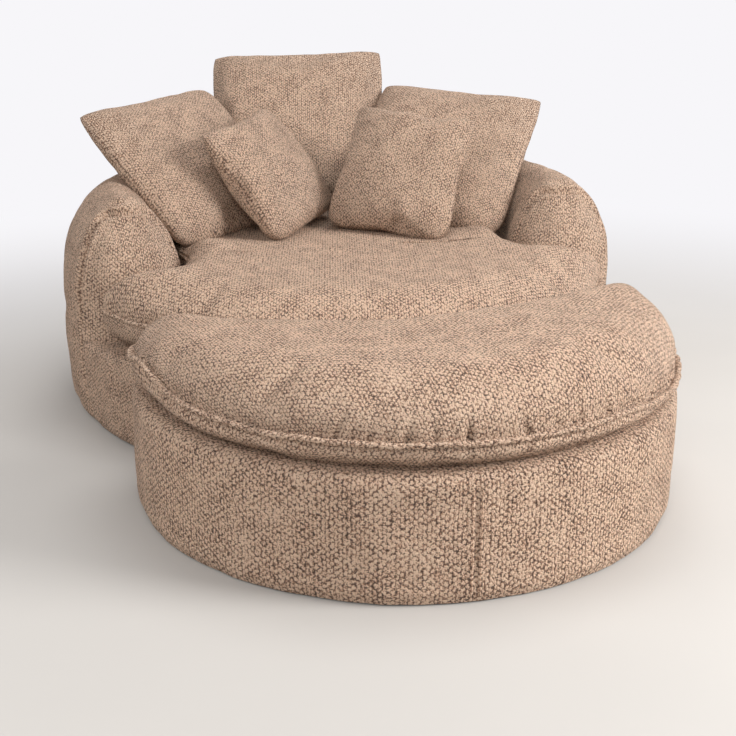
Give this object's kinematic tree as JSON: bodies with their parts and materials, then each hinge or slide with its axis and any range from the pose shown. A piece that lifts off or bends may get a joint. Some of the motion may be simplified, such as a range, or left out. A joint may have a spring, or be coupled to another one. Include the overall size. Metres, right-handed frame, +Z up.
{
  "type": "round lounge chair with ottoman",
  "caption": "Low round lounge chair with a rolled back and arms, loose seat cushion and scatter pillows, and a half-moon ottoman with a loose cushion.",
  "frame": {"origin": "middle of the footprint of chair and ottoman, on the floor", "axes": "+X to the right when facing the chair, +Y to its back, +Z up"},
  "size_m": [1.4322, 2.0058, 0.8228],
  "materials": {
    "chenille": "matte",
    "foam": "matte",
    "fibre_fill": "matte",
    "dust_cloth": "matte",
    "webbing": "matte",
    "plywood": "matte",
    "timber": "matte",
    "zinc_steel": "satin",
    "glide_plastic": "satin"
  },
  "bodies": {
    "chair": {"chair_glides": "glide_plastic", "chair_dust_cover": "dust_cloth", "chair_base_panel": "plywood", "chair_frame_posts": "timber", "chair_frame_screws": "zinc_steel", "seat_deck_ring": "plywood", "seat_webbing_lengthwise": "webbing", "seat_webbing_crosswise": "webbing", "seat_deck_pad": "foam", "seat_deck_cover": "dust_cloth", "chair_base_side_pads": "foam", "chair_base_cover": "chenille", "arm_mount_strip": "plywood", "arm_mount_bolts": "zinc_steel", "back_and_arm_foam": "foam", "back_and_arm_cover": "chenille"},
    "seat_cushion": {"seat_cushion_foam": "foam", "seat_cushion_top_cover": "chenille", "seat_cushion_bottom_cover": "chenille", "seat_cushion_welt": "chenille"},
    "ottoman": {"ottoman_glides": "glide_plastic", "ottoman_dust_cover": "dust_cloth", "ottoman_base_panel": "plywood", "ottoman_ribs": "timber", "ottoman_screws": "zinc_steel", "ottoman_top_panel": "plywood", "ottoman_top_pad": "foam", "ottoman_side_pads": "foam", "ottoman_cover": "chenille"},
    "ottoman_cushion": {"ottoman_cushion_fill": "fibre_fill", "ottoman_cushion_top_cover": "chenille", "ottoman_cushion_bottom_cover": "chenille", "ottoman_cushion_flange": "chenille"},
    "pillow_left": {"pillow_left_fill": "fibre_fill", "pillow_left_front_panel": "chenille", "pillow_left_back_panel": "chenille"},
    "pillow_small_left": {"pillow_small_left_fill": "fibre_fill", "pillow_small_left_front_panel": "chenille", "pillow_small_left_back_panel": "chenille"},
    "pillow_back": {"pillow_back_fill": "fibre_fill", "pillow_back_front_panel": "chenille", "pillow_back_back_panel": "chenille"},
    "pillow_small_right": {"pillow_small_right_fill": "fibre_fill", "pillow_small_right_front_panel": "chenille", "pillow_small_right_back_panel": "chenille"},
    "pillow_right": {"pillow_right_fill": "fibre_fill", "pillow_right_front_panel": "chenille", "pillow_right_back_panel": "chenille"}
  },
  "joints": [
    {"name": "ottoman_slide", "type": "slide", "parent": "chair", "child": "ottoman", "axis": [0, -1, 0], "range_m": [0, 0.6]},
    {"name": "ottoman_cushion_lift", "type": "slide", "parent": "ottoman", "child": "ottoman_cushion", "axis": [0, 0, 1], "range_m": [0, 0.3]},
    {"name": "seat_cushion_lift", "type": "slide", "parent": "chair", "child": "seat_cushion", "axis": [0, 0, 1], "range_m": [0, 0.35]},
    {"name": "pillow_back_lift", "type": "slide", "parent": "seat_cushion", "child": "pillow_back", "axis": [0.1246, 0.4997, 0.8572], "range_m": [0, 0.25]},
    {"name": "pillow_left_lift", "type": "slide", "parent": "seat_cushion", "child": "pillow_left", "axis": [0, 0, 1], "range_m": [0, 0.25]},
    {"name": "pillow_right_lift", "type": "slide", "parent": "seat_cushion", "child": "pillow_right", "axis": [0, 0, 1], "range_m": [0, 0.25]},
    {"name": "pillow_small_left_lift", "type": "slide", "parent": "pillow_left", "child": "pillow_small_left", "axis": [0, 0, 1], "range_m": [0, 0.2]},
    {"name": "pillow_small_right_lift", "type": "slide", "parent": "pillow_right", "child": "pillow_small_right", "axis": [0, 0, 1], "range_m": [0, 0.2]}
  ]
}
